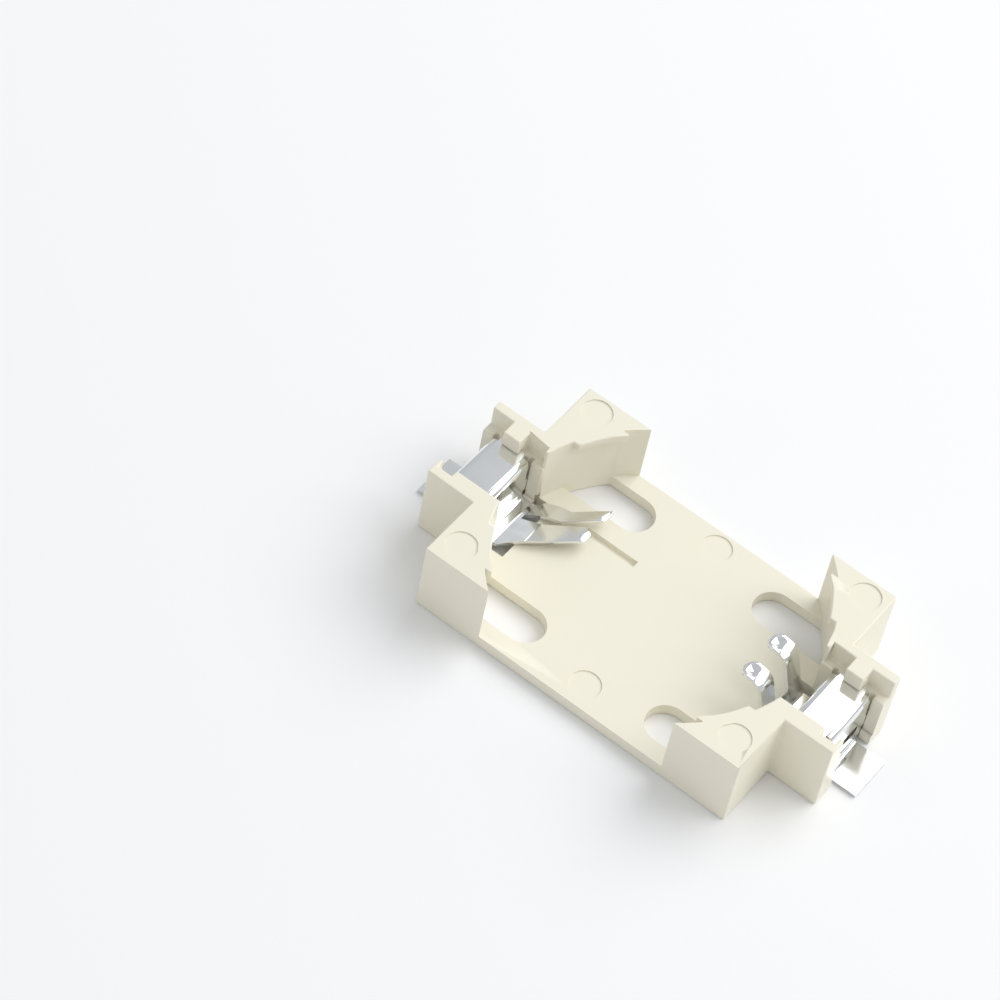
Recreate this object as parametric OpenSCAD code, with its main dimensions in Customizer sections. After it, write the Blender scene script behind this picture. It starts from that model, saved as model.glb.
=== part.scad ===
// Surface-mount holder for one 20 mm coin cell: a moulded housing and two
// folded sheet-metal contacts. Millimetres. The origin is the middle of the
// underside. X runs along the length, from the negative end to the positive one.

/* [Housing body] */
// Length of the body between its two end faces
body_l = 22.5; // [22.2:0.1:24]
// Width of the body across its open sides
body_w = 16; // [15.6:0.1:17]
// Height of the corner blocks above the board
body_h = 5.4; // [5.3:0.1:6.2]
// Thickness of the pocket floor
floor_t = 0.9; // [0.8:0.02:0.94]

/* [Cell pocket] */
// Diameter of the cell that the pocket takes
cell_d = 20; // [19.6:0.1:20.2]
// Gap between the cell and the walls of the corner blocks
cell_gap = 0.4; // [0.3:0.05:0.5]
// How far a retaining lip stands in from the pocket wall
lip_reach = 0.4; // [0.2:0.05:0.5]
// Height of a retaining lip, down from the block's top
lip_h = 0.65; // [0.5:0.05:1]

/* [Floor slots] */
// Distance from the long axis to the near side of a floor slot
slot_y = 4.1; // [3.9:0.05:4.4]
// Width of a floor slot
slot_w = 2.7; // [2.2:0.05:2.8]
// Distance from the cross axis to the round end of a floor slot
slot_x = 3.85; // [2.5:0.05:5]

/* [Corner holes] */
// Diameter of the blind holes in the underside
hole_d = 1.5; // [1:0.1:1.8]
// Depth of the blind holes
hole_depth = 2.4; // [1:0.1:3.5]
// Distance from a hole's axis to the body's end face
hole_in_x = 1.43; // [1.2:0.01:1.6]
// Distance from a hole's axis to the body's side face
hole_in_y = 1.4; // [1.2:0.05:1.6]

/* [Mould marks] */
// Diameter of the round ejector marks
mark_d = 2; // [1.5:0.1:2.2]
// Depth of the round ejector marks
mark_depth = 0.08; // [0.03:0.01:0.12]
// Distance from the ejector marks to the body's front side
mark_front = 1.55; // [1.3:0.05:2]
// Distance from the ejector marks to the body's back side
mark_back = 1.2; // [1.15:0.05:1.8]
// Start of the shallow floor groove, from the cross axis
groove_x = 2.9; // [2:0.1:3.5]
// Length of the shallow floor groove
groove_l = 3.7; // [2:0.1:4.5]
// Distance from the long axis to the middle of the groove
groove_y = 2.5; // [2:0.05:3.2]
// Width of the shallow floor groove
groove_w = 0.5; // [0.2:0.05:0.6]
// Depth of the shallow floor groove
groove_depth = 0.3; // [0.1:0.05:0.5]

/* [Contact lugs] */
// How far a lug stands out from the body's end face
lug_l = 3.35; // [3.2:0.05:3.9]
// Width of a lug
lug_w = 7.06; // [6.9:0.02:7.6]
// Width of the channel between the lug walls, below the strap
channel_w = 4.36; // [4.1:0.02:4.4]
// Width of the floor's openings below the channel
gate_w = 4; // [3.96:0.01:4.08]
// Height of the ledges that carry the strap
ledge_z = 3.95; // [3.6:0.05:4.2]
// Width of the bay above the ledges
bay_w = 4.7; // [4.66:0.01:4.9]
// Depth of the pockets beside the bay
relief = 0.5; // [0.3:0.05:0.6]
// Length of the catch over the strap
catch_l = 1.2; // [0.8:0.1:1.4]
// Distance from the body's end face to the middle of the catch
catch_x = 1.2; // [1:0.05:1.4]
// How far the catch reaches over the strap
catch_reach = 0.55; // [0.3:0.05:0.8]
// Reach of the back wall's inner pocket inside the body's end face
back_relief_l = 0.95; // [0.6:0.05:1.1]
// Length of the pocket in the front wall, beside the outer leg
front_relief_l = 1; // [0.6:0.05:1.2]
// Thickness of the front wall's lip beyond that pocket
end_lip = 0.28; // [0.2:0.02:0.5]

/* [Floor windows] */
// Length of the floor window inside the body's end face
window_l = 2.15; // [1.8:0.05:2.4]
// Width of the wide part of that window
window_w = 5; // [4.6:0.1:5.4]
// Length of the wide part of that window
window_wide_l = 1.2; // [0.8:0.05:1.3]
// Length of the floor bar between the window and the outer leg
bar_l = 1.35; // [1:0.05:1.5]
// Length of the two teeth on the positive end's bar
tooth_l = 0.4; // [0.2:0.05:0.5]
// Width of a tooth
tooth_w = 0.35; // [0.2:0.05:0.6]

/* [Contact sheet] */
// Thickness of the contact sheet
sheet_t = 0.25; // [0.2:0.01:0.3]
// Inside radius of the bends
bend_r = 0.25; // [0.2:0.01:0.3]
// Distance between the outer faces of a contact's two legs
legs_span = 2.85; // [2.6:0.05:3]
// Width of the strap between the legs
strap_w = 4.6; // [4.4:0.02:4.64]
// Width of the legs
leg_w = 3.9; // [3.6:0.02:3.92]
// How far a barb stands out from the side of a leg
barb_reach = 0.55; // [0.3:0.05:0.6]
// Height of the barbs
barb_h = 1; // [0.6:0.1:1.4]
// Height of the barbs' lower edge above the board
barb_z = 1.3; // [1.25:0.05:1.6]
// Play between a barb and the end of its slit
barb_play = 0.05; // [0.02:0.01:0.1]
// Play between a leg and each side of its slit
slit_play = 0.02; // [0.01:0.01:0.05]

/* [Solder tabs] */
// Width of a solder tab
tab_w = 3.1; // [2.6:0.1:3.6]
// Reach of a solder tab beyond the outer leg
tab_l = 2.25; // [1.5:0.05:2.6]
// Width of the slot in the outer leg
vent_w = 2.6; // [1.6:0.1:2.8]
// Height of the slot in the outer leg
vent_h = 0.7; // [0.5:0.05:0.9]
// Height of the slot's middle above the board
vent_z = 1.85; // [1.4:0.05:2.4]

/* [Negative leaf] */
// Height of the leaf's root above the board
root_z = 0.45; // [0.4:0.01:0.5]
// Length of the flat part at the leaf's root
root_l = 0.4; // [0.2:0.05:0.45]
// Steep climb of the leaf out of its window, in degrees
climb_a = 25; // [24:1:32]
// Length of the steep climb
climb_l = 1.7; // [1.6:0.05:2.1]
// Gentle climb of the fingers, in degrees
rise_a = 9; // [5:1:12]
// Length of the gentle climb
rise_l = 2.3; // [2:0.05:2.5]
// Reach of the leaf from its root to the fingers' ends
leaf_l = 4.9; // [4.6:0.05:5]
// Distance from the leaf's root to the slot between its arms
arm_gap_x = 0.75; // [0.6:0.05:0.9]
// Distance from the long axis to the middle of that slot
arm_gap_y = 0.78; // [0.6:0.02:0.9]
// Width of the slot between the arms
arm_gap = 0.45; // [0.3:0.05:0.6]
// Distance from the leaf's root to the knee of the back arm
knee_x = 2.95; // [2.7:0.05:3.1]
// Direction of the back finger, in degrees from the long axis
finger_a = 40; // [36:1:42]
// Distance from the long axis to the back arm's outer side
arm_y = 2.35; // [2.2:0.05:2.4]
// Distance from the long axis to the middle of the front finger's end
front_end_y = 1.5; // [1.3:0.05:1.6]
// Downward curl of the fingers' tips, in degrees
curl_a = 30; // [10:1:40]
// Inside radius of the curl
curl_r = 0.8; // [0.5:0.1:1.2]
// Length of the straight end beyond the curl
curl_l = 0.5; // [0.3:0.1:1]

/* [Positive fingers] */
// Width of an upright finger
finger_w = 1.3; // [1:0.05:1.35]
// Length of the flat foot between the inner leg and the uprights
foot_l = 0.85; // [0.7:0.05:0.95]
// Lean of the upright fingers towards the cell, in degrees
lean_a = 16; // [10:1:18]
// Length of the straight part of an upright finger
upright_l = 3.05; // [2.8:0.05:3.2]
// Turn of the hooked tip, in degrees
hook_a = 66; // [55:1:74]
// Inside radius of the hook's bend
hook_r = 0.6; // [0.4:0.05:0.8]
// Length of the flat part of the hooked tip
hook_l = 0.4; // [0.3:0.05:0.6]

/* [Hidden] */
$fn = 64;

cut = 0.5;                              // overshoot of a cut past a free face
end_x = body_l/2;                       // the body's end face
lug_x = end_x + lug_l;                  // the lug's end face
pocket_r = cell_d/2 + cell_gap;
wall_y = channel_w/2;                   // lug wall face below the strap
gate_y = gate_w/2;                      // side of the floor's openings
bay_y = bay_w/2;                        // lug wall face above the ledges
leg_in = end_x - sheet_t;               // cell side of the inner leg
leg_out = leg_in + legs_span;           // board side of the outer leg
slit_y = leg_w/2 + barb_reach + barb_play;
slit_w = sheet_t + 2*slit_play;
strap_top = ledge_z + sheet_t;
turn_r = bend_r + sheet_t;              // outside radius of the bends
catch_gap = 0.04;                       // between the strap and the catch

moulding = [0.93, 0.91, 0.84];
tin = [0.80, 0.81, 0.82];

// ---- Housing -------------------------------------------------------------

// A box given by its lowest and highest corners
module span(low, high) {
    translate(low) cube(high - low);
}

// Four copies, one for each corner of the body
module each_corner() {
    for (mx = [0, 1], my = [0, 1])
        mirror([mx, 0, 0]) mirror([0, my, 0]) children();
}

// Places a feature of the +X end at the negative end
module at_negative_end() {
    mirror([1, 0, 0]) children();
}

// Long slot below a lip, with a round end towards the middle and the pocket
// wall as its other end
module floor_slot() {
    slot_r = slot_w/2;
    intersection() {
        translate([0, 0, -cut]) cylinder(r = pocket_r, h = floor_t + 2*cut, $fn = 128);
        union() {
            translate([slot_x + slot_r, slot_y + slot_r, -cut])
                cylinder(r = slot_r, h = floor_t + 2*cut);
            span([slot_x + slot_r, slot_y, -cut],
                 [pocket_r, slot_y + slot_w, floor_t + cut]);
        }
    }
}

// Retaining lip above a floor slot, as wide as the slot, with a sloped top
module lip() {
    lip_r = pocket_r - lip_reach;
    root_r = pocket_r + cell_gap;
    intersection() {
        rotate_extrude($fn = 128)
            polygon([[lip_r, body_h - lip_h], [root_r, body_h - lip_h],
                     [root_r, body_h], [lip_r, body_h]]);
        span([0, slot_y, 0], [pocket_r, slot_y + slot_w, body_h]);
    }
}

// Channel of one lug, with its windows, slits and the pockets beside the catch
module lug_cuts() {
    window_x = end_x - window_l;
    catch_low = end_x + catch_x - catch_l/2;
    catch_high = catch_low + catch_l;
    // lower channel and the wider bay above the ledges
    span([0, -wall_y, floor_t], [lug_x + cut, wall_y, body_h + cut]);
    span([0, -bay_y, ledge_z], [lug_x + cut, bay_y, body_h + cut]);
    // pockets in the back wall, before and behind the catch
    span([end_x - back_relief_l, 0, ledge_z], [catch_low, bay_y + relief, body_h + cut]);
    span([catch_high, 0, ledge_z], [lug_x + cut, bay_y + relief, body_h + cut]);
    // pocket in the front wall, beside the outer leg
    span([lug_x - end_lip - front_relief_l, -bay_y - relief, ledge_z],
         [lug_x - end_lip, 0, body_h + cut]);
    // floor window, wide towards the cell
    span([window_x, -gate_y, -cut], [leg_in, gate_y, floor_t + cut]);
    span([window_x, -window_w/2, -cut],
         [window_x + window_wide_l, window_w/2, floor_t + cut]);
    // open floor at the lug's end
    span([end_x + bar_l, -gate_y, -cut], [lug_x + cut, gate_y, floor_t + cut]);
    // slits that take the barbs of the two legs
    for (leg_x = [leg_in, leg_out - sheet_t])
        span([leg_x - slit_play, -slit_y, -cut],
             [leg_x - slit_play + slit_w, slit_y, ledge_z]);
}

// Catch that stands over the strap from the back wall
module strap_catch() {
    catch_low = end_x + catch_x - catch_l/2;
    span([catch_low, bay_y - catch_reach, strap_top + catch_gap],
         [catch_low + catch_l, bay_y + relief, body_h]);
}

// Two small teeth on the floor bar of the positive end
module bar_teeth() {
    for (tooth_y = [-0.12, 1.36])
        span([end_x + bar_l - tooth_l, tooth_y - tooth_w/2, 0],
             [end_x + bar_l + tooth_l, tooth_y + tooth_w/2, floor_t]);
}

module ejector_mark(x, y, top) {
    translate([x, y, top - mark_depth]) cylinder(d = mark_d, h = mark_depth + cut);
}

module housing() {
    hole_x = end_x - hole_in_x;
    hole_y = body_w/2 - hole_in_y;
    color(moulding) {
        difference() {
            union() {
                span([-end_x, -body_w/2, 0], [end_x, body_w/2, body_h]);
                span([-lug_x, -lug_w/2, 0], [lug_x, lug_w/2, body_h]);
            }
            translate([0, 0, floor_t])
                cylinder(r = pocket_r, h = body_h, $fn = 128);
            each_corner() floor_slot();
            each_corner() translate([hole_x, hole_y, -cut])
                cylinder(d = hole_d, h = hole_depth + cut);
            lug_cuts();
            at_negative_end() lug_cuts();
            for (y = [-body_w/2 + mark_front, body_w/2 - mark_back]) {
                for (x = [-hole_x, hole_x]) ejector_mark(x, y, body_h);
                ejector_mark(0, y, floor_t);
            }
            span([-groove_x - groove_l, groove_y - groove_w/2, floor_t - groove_depth],
                 [-groove_x, groove_y + groove_w/2, floor_t + cut]);
        }
        each_corner() lip();
        strap_catch();
        at_negative_end() strap_catch();
        bar_teeth();
    }
}

// ---- Contacts ------------------------------------------------------------

// A bent strip of sheet. Each step is [length, width, turn, radius]: a flat
// stretch along +X with its lower face at z = 0, then a bend of that inside
// radius, upwards if the turn is positive. The children follow the last step.
module strip(steps, i = 0) {
    if (i == len(steps)) children();
    else {
        length = steps[i][0];
        width = steps[i][1];
        turn = steps[i][2];
        inside = steps[i][3];
        centre_z = turn > 0 ? inside + sheet_t : -inside;
        if (length > 0) span([0, -width/2, 0], [length, width/2, sheet_t]);
        if (turn != 0)
            translate([length, 0, centre_z]) rotate([90, 0, 0])
                rotate([0, 0, turn > 0 ? -90 : 90 + turn])
                    rotate_extrude(angle = abs(turn))
                        translate([inside, -width/2]) square([sheet_t, width]);
        translate([length, 0, centre_z]) rotate([0, -turn, 0])
            translate([0, 0, -centre_z]) strip(steps, i + 1) children();
    }
}

// Barbs on both sides of a leg, in its slit
module barbs(leg_x) {
    half = leg_w/2 + barb_reach;
    span([leg_x, -half, barb_z], [leg_x + sheet_t, half, barb_z + barb_h]);
}

// Slot in the outer leg, with round ends
module vent() {
    reach = (vent_w - vent_h)/2;
    for (y = [-reach, reach])
        translate([leg_out - sheet_t - cut, y, vent_z]) rotate([0, 90, 0])
            cylinder(d = vent_h, h = sheet_t + 2*cut);
    span([leg_out - sheet_t - cut, -reach, vent_z - vent_h/2],
         [leg_out + cut, reach, vent_z + vent_h/2]);
}

// Solder tab, outer leg, strap and inner leg, the same for both contacts. The
// children start at the inner leg's foot and go towards the cell along +X.
module saddle() {
    difference() {
        union() {
            translate([leg_out + tab_l, 0, 0]) mirror([1, 0, 0])
                strip([[tab_l - bend_r, tab_w, 0, 0],
                       [0, tab_w, 90, bend_r],
                       [ledge_z - bend_r - turn_r, leg_w, 0, 0],
                       [0, leg_w, -90, bend_r],
                       [legs_span - 2*turn_r, strap_w, 0, 0],
                       [0, leg_w, -90, bend_r],
                       [ledge_z - bend_r - root_z - turn_r, leg_w, 0, 0],
                       [0, leg_w, 90, bend_r]])
                    children();
            barbs(leg_in);
            barbs(leg_out - sheet_t);
        }
        vent();
    }
}

// Back arm of the leaf in plan: along the long axis to its knee, then a finger
// that leads away from the axis to a straight-cut end
module back_arm() {
    inner_y = arm_gap_y + arm_gap/2;
    aside = (leaf_l - knee_x)*tan(finger_a);
    polygon([[0, inner_y], [arm_gap_x, inner_y], [knee_x, inner_y + 0.5],
             [leaf_l, inner_y + 0.5 + aside], [leaf_l, arm_y + 0.15 + aside],
             [knee_x, arm_y + 0.15], [1.25, arm_y], [0.85, leg_w/2], [0, leg_w/2]]);
}

// Front arm of the leaf in plan: it narrows from the leg's width to a finger
module front_arm() {
    inner_y = arm_gap_y - arm_gap/2;
    polygon([[0, -leg_w/2], [0.8, -leg_w/2], [knee_x + 0.6, 0], [leaf_l, front_end_y - 0.4],
             [leaf_l, front_end_y + 0.3], [leaf_l - 0.6, front_end_y + 0.55],
             [knee_x - 0.8, inner_y + 0.05], [arm_gap_x, inner_y], [0, inner_y]]);
}

module leaf_outline() {
    translate([-bend_r, -leg_w/2]) square([bend_r + arm_gap_x, leg_w]);
    back_arm();
    front_arm();
}

module negative_contact() {
    span_w = 3*leaf_l;
    color(tin)
        at_negative_end() saddle()
            intersection() {
                strip([[root_l, span_w, climb_a, bend_r],
                       [climb_l, span_w, rise_a - climb_a, bend_r],
                       [rise_l, span_w, -curl_a, curl_r],
                       [curl_l, span_w, 0, 0]]);
                translate([0, 0, -cut]) linear_extrude(height = body_h) leaf_outline();
            }
}

module positive_contact() {
    color(tin)
        saddle() {
            span([0, -leg_w/2, 0], [foot_l, leg_w/2, sheet_t]);
            for (side = [-1, 1])
                translate([foot_l, side*(leg_w - finger_w)/2, 0])
                    strip([[0, finger_w, 90 - lean_a, bend_r],
                           [upright_l, finger_w, -hook_a, hook_r],
                           [hook_l, finger_w, 0, 0]])
                        hook_tip();
        }
}

// Round end of a hooked tip, turned down a little
module hook_tip() {
    intersection() {
        strip([[0, finger_w, -curl_a, curl_r], [finger_w, finger_w, 0, 0]]);
        translate([0, 0, -body_h/2]) cylinder(d = finger_w, h = body_h);
    }
}

housing();
negative_contact();
positive_contact();
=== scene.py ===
# %% [markdown]
# # A coin cell holder, dressed in Blender
# The part is a surface-mount holder for one 20 mm coin cell: one off-white
# moulding and two bright folded contacts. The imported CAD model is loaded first
# and stays the measure of everything, so each later cell only asks it where
# things are.

# %% Load the frame
import math

import bmesh
import bpy
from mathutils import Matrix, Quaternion, Vector
from mathutils.kdtree import KDTree


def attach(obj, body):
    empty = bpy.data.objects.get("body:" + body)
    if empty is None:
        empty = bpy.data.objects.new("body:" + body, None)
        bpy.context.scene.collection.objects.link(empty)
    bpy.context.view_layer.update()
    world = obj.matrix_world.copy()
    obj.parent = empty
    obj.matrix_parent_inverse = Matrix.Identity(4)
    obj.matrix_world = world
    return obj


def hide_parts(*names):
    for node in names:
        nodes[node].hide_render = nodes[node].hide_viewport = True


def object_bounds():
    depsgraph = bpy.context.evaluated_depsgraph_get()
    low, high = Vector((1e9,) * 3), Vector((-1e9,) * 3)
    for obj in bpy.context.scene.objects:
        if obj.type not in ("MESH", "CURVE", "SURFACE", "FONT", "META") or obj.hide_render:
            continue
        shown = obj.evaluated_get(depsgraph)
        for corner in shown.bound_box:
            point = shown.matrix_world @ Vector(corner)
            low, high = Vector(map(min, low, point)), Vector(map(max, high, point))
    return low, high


MM = 0.001

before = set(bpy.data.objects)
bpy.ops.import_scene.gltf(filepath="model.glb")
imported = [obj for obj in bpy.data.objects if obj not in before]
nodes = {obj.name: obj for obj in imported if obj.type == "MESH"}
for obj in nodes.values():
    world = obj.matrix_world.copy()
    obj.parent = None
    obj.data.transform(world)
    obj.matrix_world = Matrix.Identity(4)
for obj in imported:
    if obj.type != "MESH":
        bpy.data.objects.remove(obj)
cad_box = [list(corner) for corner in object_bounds()]
low = Vector(cad_box[0])
print("CAD box in mm:", [[round(v / MM, 2) for v in corner] for corner in cad_box])


# %% [markdown]
# ## Working copies
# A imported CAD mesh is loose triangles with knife-sharp edges, and real edges
# are never that sharp. Each piece is therefore copied first, its doubled
# corners are merged and its flat neighbours are joined back into whole faces.
# The copy then stands in for the CAD node.


# %% Copy the three CAD nodes as clean, editable pieces
SAME_CORNER = 0.0005 * MM
SAME_PLANE = math.radians(0.5)


def select_only(obj):
    if bpy.context.object and bpy.context.object.mode != "OBJECT":
        bpy.ops.object.mode_set(mode="OBJECT")
    bpy.ops.object.select_all(action="DESELECT")
    obj.select_set(True)
    bpy.context.view_layer.objects.active = obj


def copy_of(node, name):
    """Copies a CAD node, merges its triangles and lets the copy replace it."""
    piece = nodes[node].copy()
    piece.data = nodes[node].data.copy()
    piece.name = piece.data.name = name
    for key in [k for k in piece.keys() if k.startswith("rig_")]:
        del piece[key]
    piece.parent = None
    bpy.context.collection.objects.link(piece)
    select_only(piece)
    bpy.ops.object.mode_set(mode="EDIT")
    bpy.ops.mesh.select_all(action="SELECT")
    bpy.ops.mesh.remove_doubles(threshold=SAME_CORNER)
    bpy.ops.mesh.dissolve_limited(angle_limit=SAME_PLANE)
    bpy.ops.object.mode_set(mode="OBJECT")
    piece.data.materials.clear()
    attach(piece, "root")
    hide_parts(node)
    print(name, "has", len(piece.data.polygons), "faces after merging")
    return piece


housing = copy_of("housing", "housing_shell")
leaf = copy_of("negative_contact", "negative_leaf")
spring = copy_of("positive_contact", "positive_spring")


# %% [markdown]
# ## Dimples
# The hooked tips touch the cell with a small dimple pressed into the sheet. A
# dimple is a shallow spherical dent, so a ball is subtracted from each tip: a
# boolean keeps the rest of the folded sheet as it is. The tips are found by
# measuring, since they are the sheet's highest corners on the cell's side.


# %% Press the contact dimples
TIPS_ABOVE, TIPS_INSIDE = 4.2 * MM, 8.2 * MM
DIMPLE_RADIUS, DIMPLE_DEPTH = 0.7 * MM, 0.13 * MM
DIMPLE_FROM_EDGE = 0.62 * MM


def press_dimple(piece, place):
    """Subtracts the lowest part of a ball that dips below place."""
    centre = place + Vector((0, 0, DIMPLE_RADIUS - DIMPLE_DEPTH))
    bpy.ops.object.select_all(action="DESELECT")
    bpy.ops.mesh.primitive_uv_sphere_add(segments=48, ring_count=32,
                                         radius=DIMPLE_RADIUS, location=centre)
    ball = bpy.context.object
    select_only(piece)
    dent = piece.modifiers.new("dimple", "BOOLEAN")
    dent.operation = "DIFFERENCE"
    dent.solver = "EXACT"
    dent.object = ball
    bpy.ops.object.modifier_apply(modifier=dent.name)
    bpy.data.objects.remove(ball)


tip_corners = [v.co.copy() for v in spring.data.vertices
               if v.co.z > TIPS_ABOVE and v.co.x < TIPS_INSIDE]
for side in (-1, 1):
    tip = [co for co in tip_corners if co.y * side > 0]
    edge_x = min(co.x for co in tip)
    middle_y = (min(co.y for co in tip) + max(co.y for co in tip)) / 2
    top_z = max(co.z for co in tip)
    print("tip", side, "reaches x", round(edge_x / MM, 2), "top z", round(top_z / MM, 2))
    press_dimple(spring, Vector((edge_x + DIMPLE_FROM_EDGE, middle_y, top_z)))


# %% [markdown]
# ## Soft edges
# Mould steel and press tools leave small radii, and these catch the light along
# an edge. A bevel modifier limited by angle would do every edge at once, but it
# shrinks the bevel everywhere to suit the tightest detail. So the edges that
# have room are marked first, and only these are bevelled, at full width. Edges
# that meet in a sharp point or end on the pocket floor are left out as well,
# because a bevel there can fold the wide floor face over itself.


# %% Bevel the edges that have room
FLOOR_TOP = 0.90 * MM
FLOOR_TOLERANCE = 0.02 * MM
ACUTE = math.radians(60)
SMOOTH_BELOW = math.radians(40)
FLAT_FACE_WEIGHT = 100


def corner_tree(corners):
    tree = KDTree(len(corners))
    for corner in corners:
        tree.insert(corner.co, corner.index)
    tree.balance()
    return tree


def is_crowded(edge, near, width):
    """True if a corner of another edge lies within two bevel widths."""
    own = {corner.index for corner in edge.verts}
    start, end = (corner.co for corner in edge.verts)
    steps = max(1, round(edge.calc_length() / width))
    return any(index not in own
               for step in range(steps + 1)
               for _, index, _ in near.find_range(start.lerp(end, step / steps), 2 * width))


def is_pointed(edge, sharp):
    """True if another sharp edge leaves one of its ends at an acute angle."""
    for corner in edge.verts:
        along = edge.other_vert(corner).co - corner.co
        for other in corner.link_edges:
            if other is edge or other not in sharp:
                continue
            if along.angle(other.other_vert(corner).co - corner.co) < ACUTE:
                return True
    return False


def meets_floor(edge):
    return any(abs(corner.co.z - FLOOR_TOP) < FLOOR_TOLERANCE for corner in edge.verts)


def mark_roomy_edges(piece, sharp_from, width):
    """Gives bevel weight to the sharp edges that have room for this width."""
    mesh = bmesh.new()
    mesh.from_mesh(piece.data)
    weight = mesh.edges.layers.float.new("bevel_weight_edge")
    sharp = {edge for edge in mesh.edges if len(edge.link_faces) == 2
             and edge.calc_face_angle() > math.radians(sharp_from)}
    near = corner_tree({corner for edge in sharp for corner in edge.verts})
    roomy = [edge for edge in sharp
             if not (is_crowded(edge, near, width) or is_pointed(edge, sharp)
                     or meets_floor(edge))]
    for edge in roomy:
        edge[weight] = 1.0
    print(piece.name, "has", len(sharp), "sharp edges,", len(roomy), "with room for a bevel")
    mesh.to_mesh(piece.data)
    mesh.free()


def soften(piece, width, sharp_from, segments):
    """Bevels the sharp edges of a piece and shades its flats evenly."""
    mark_roomy_edges(piece, sharp_from, width)
    select_only(piece)
    bevel = piece.modifiers.new("edges", "BEVEL")
    bevel.limit_method = "WEIGHT"
    bevel.width = width
    bevel.segments = segments
    bevel.use_clamp_overlap = False
    bpy.ops.object.modifier_apply(modifier=bevel.name)
    bpy.ops.object.shade_smooth_by_angle(angle=SMOOTH_BELOW)
    flats = piece.modifiers.new("flats", "WEIGHTED_NORMAL")
    flats.mode = "FACE_AREA"
    flats.weight = FLAT_FACE_WEIGHT
    flats.keep_sharp = True
    bpy.ops.object.modifier_apply(modifier=flats.name)
    print(piece.name, "has", len(piece.data.polygons), "faces after bevelling")


soften(housing, 0.10 * MM, sharp_from=40, segments=3)
for contact in (leaf, spring):
    soften(contact, 0.03 * MM, sharp_from=55, segments=2)


# %% [markdown]
# ## Finishes
# Shader maths reads better as plain expressions, so a small class wraps a
# socket and adds the Math node that each operator stands for. Constants go
# straight onto the sockets, so only what varies needs a node.


# %% A small language for shader maths
class Shade:
    def __init__(self, tree, socket=None):
        self.tree, self.socket = tree, socket

    def make(self, kind, settings=None, out=0, **inputs):
        """Adds a node, sets it up and fills its sockets; _0 is socket number 0."""
        node = self.tree.nodes.new(kind)
        for name, value in (settings or {}).items():
            setattr(node, name, value)
        for name, value in inputs.items():
            numbered = name[1:].isdigit()
            target = node.inputs[int(name[1:]) if numbered else name]
            if isinstance(value, Shade):
                self.tree.links.new(value.socket, target)
            else:
                target.default_value = value
        return Shade(self.tree, node.outputs[out])

    def __add__(self, other):
        return self.make("ShaderNodeMath", {"operation": "ADD"}, _0=self, _1=other)

    def __mul__(self, other):
        return self.make("ShaderNodeMath", {"operation": "MULTIPLY"}, _0=self, _1=other)

    __radd__, __rmul__ = __add__, __mul__


def new_material(name, colour, **constants):
    """A Principled material, with its shader and the object coordinates."""
    material = bpy.data.materials.new(name)
    material.use_nodes = True
    tree = material.node_tree
    shader = tree.nodes["Principled BSDF"]
    shader.inputs["Base Color"].default_value = (*colour, 1)
    for key, value in constants.items():
        shader.inputs[key].default_value = value
    print("material:", name)
    return material, shader, Shade(tree).make("ShaderNodeTexCoord", out="Object")


def feed(shade, shader, name):
    shade.tree.links.new(shade.socket, shader.inputs[name])


# %% [markdown]
# ### Moulded plastic
# The moulding is a matt, warm white, with a grain too fine to model. Fine noise
# through a Bump node gives the grain, and a wide, slow noise lets the sheen
# wander a little, as it does on real mouldings.


# %% Moulded plastic
GRAIN_SCALE, SHEEN_SCALE = 5200.0, 260.0
GRAIN_STRENGTH, GRAIN_DEPTH = 0.08, 0.02 * MM


def moulded_plastic():
    material, shader, place = new_material("warm white moulding", (0.87, 0.83, 0.69))
    grain = place.make("ShaderNodeTexNoise", Vector=place, Scale=GRAIN_SCALE, Detail=3.0)
    cloud = place.make("ShaderNodeTexNoise", Vector=place, Scale=SHEEN_SCALE, Detail=2.0)
    feed(cloud * 0.12 + 0.36, shader, "Roughness")
    bump = place.make("ShaderNodeBump", Height=grain, Strength=GRAIN_STRENGTH,
                      Distance=GRAIN_DEPTH)
    feed(bump, shader, "Normal")
    return material


housing.data.materials.append(moulded_plastic())

# %% [markdown]
# ### Tinned sheet
# Bright tin over rolled strip is nearly a mirror. The rolling leaves streaks
# along the strip, so the noise behind the roughness is stretched: its scale is
# low along the length and high across it.


# %% Tinned sheet
ROLLING_SCALE = (70.0, 1500.0, 400.0)


def tinned_sheet():
    material, shader, place = new_material("bright tinned sheet", (0.89, 0.90, 0.90),
                                           Metallic=1.0)
    streak = place.make("ShaderNodeMapping", Vector=place, Scale=ROLLING_SCALE)
    rolled = place.make("ShaderNodeTexNoise", Vector=streak, Scale=1.0, Detail=3.0)
    feed(rolled * 0.10 + 0.08, shader, "Roughness")
    return material


tin = tinned_sheet()
for contact in (leaf, spring):
    contact.data.materials.append(tin)

# %% [markdown]
# ## Floor
# A plain pale sheet of paper. It lies a hair below the part, so that the
# underside and the paper never share a plane.

# %% Floor
FLOOR_SIZE = 2.0
FLOOR_GAP = 0.02 * MM

bpy.ops.object.select_all(action="DESELECT")
bpy.ops.mesh.primitive_plane_add(size=FLOOR_SIZE, location=(0, 0, low.z - FLOOR_GAP))
floor = bpy.context.object
floor.name = "floor"
paper, _, _ = new_material("pale paper", (0.93, 0.93, 0.93), Roughness=0.9)
floor.data.materials.append(paper)

# %% [markdown]
# ## Light
# One large soft box behind the part keeps its tops bright and lets the faces
# turned to the viewer fall into gentle shade. A weak fill from the front and a
# pale, slightly blue sky open the recesses and give the tin something to
# mirror. Shape is easiest to read when the key light stands behind.


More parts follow.
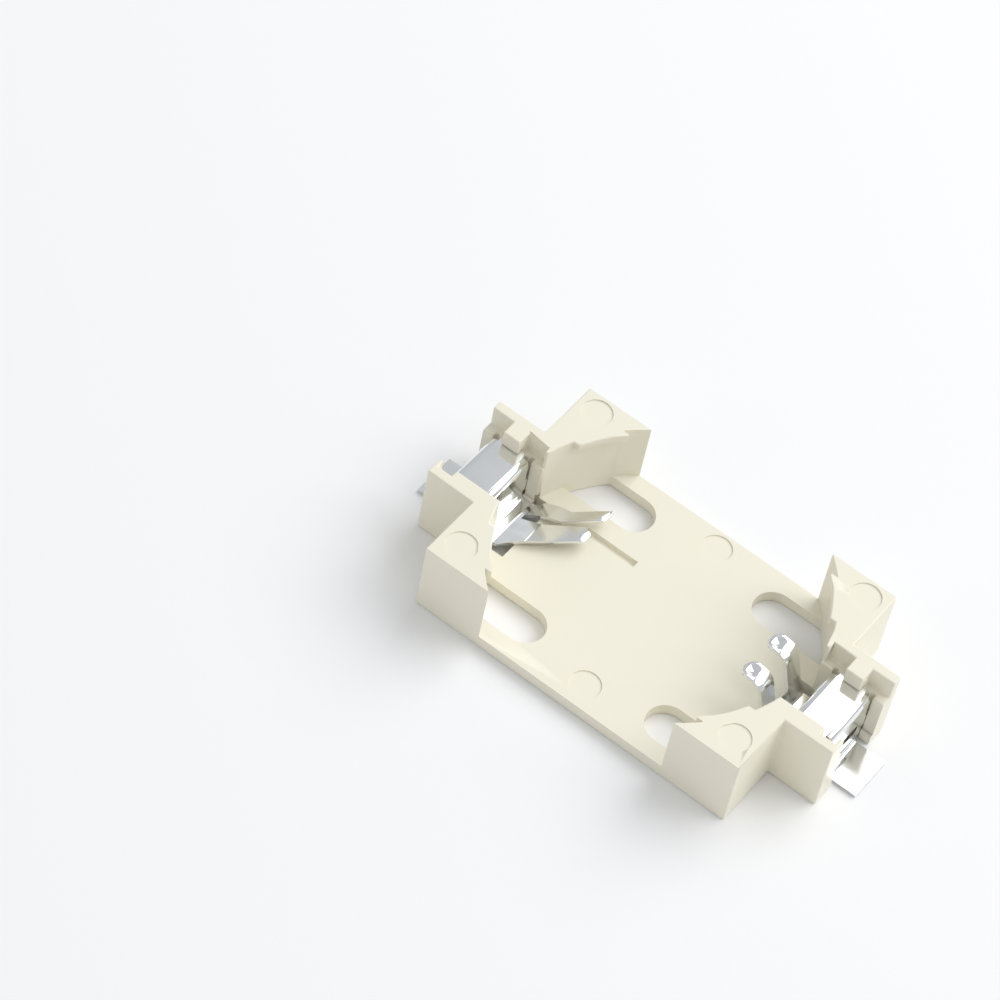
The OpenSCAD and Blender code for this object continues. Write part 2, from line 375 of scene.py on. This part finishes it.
# %% Lights
def softbox(name, direction, distance, size, power):
    """A rectangular soft light that faces the part from a direction."""
    place = Vector(direction).normalized() * distance
    bpy.ops.object.light_add(type="AREA", location=place)
    light = bpy.context.object
    light.name = name
    light.data.shape = "RECTANGLE"
    light.data.size, light.data.size_y = size
    light.data.energy = power
    light.rotation_mode = "QUATERNION"
    light.rotation_quaternion = (-place).to_track_quat("-Z", "Y")
    print(name, "stands", distance, "m away with", power, "W")


softbox("back key", (0.36, 0.58, 0.72), 0.60, (0.722, 0.50), 2.9)
softbox("front fill", (-0.5, -0.75, 0.55), 0.60, (0.30, 0.30), 0.15)

world = bpy.data.worlds.new("studio")
bpy.context.scene.world = world
world.use_nodes = True
sky = world.node_tree.nodes["Background"]
sky.inputs["Color"].default_value = (0.95, 0.97, 1.0, 1)
sky.inputs["Strength"].default_value = 0.58
bpy.context.scene.view_settings.view_transform = "Standard"

# %% [markdown]
# ## Camera
# A long lens from well away looks down on the holder and is rolled a little, so
# that the holder lies slantwise in the frame. The place is given as an azimuth,
# an elevation and a distance from the point it looks at, because these are
# easier to adjust than coordinates.

# %% Camera
AZIMUTH, ELEVATION, ROLL = (math.radians(angle) for angle in (27.32, 52.54, 12.58))
DISTANCE = 255.38 * MM
AIM = Vector((-12.06, 1.35, 0.0)) * MM
SENSOR_WIDTH, FOCAL_LENGTH = 36.0, 153.7
CLIP_START, CLIP_END = 0.01, 10.0

back = Vector((math.sin(AZIMUTH) * math.cos(ELEVATION),
               -math.cos(AZIMUTH) * math.cos(ELEVATION), math.sin(ELEVATION)))
bpy.ops.object.camera_add(location=AIM + back * DISTANCE)
camera = bpy.context.object
camera.data.sensor_width = SENSOR_WIDTH
camera.data.lens = FOCAL_LENGTH
camera.data.clip_start, camera.data.clip_end = CLIP_START, CLIP_END
camera.rotation_mode = "QUATERNION"
camera.rotation_quaternion = ((-back).to_track_quat("-Z", "Y")
                              @ Quaternion((0, 0, 1), ROLL))
bpy.context.scene.camera = camera
print("camera at mm", [round(v / MM, 1) for v in camera.location])
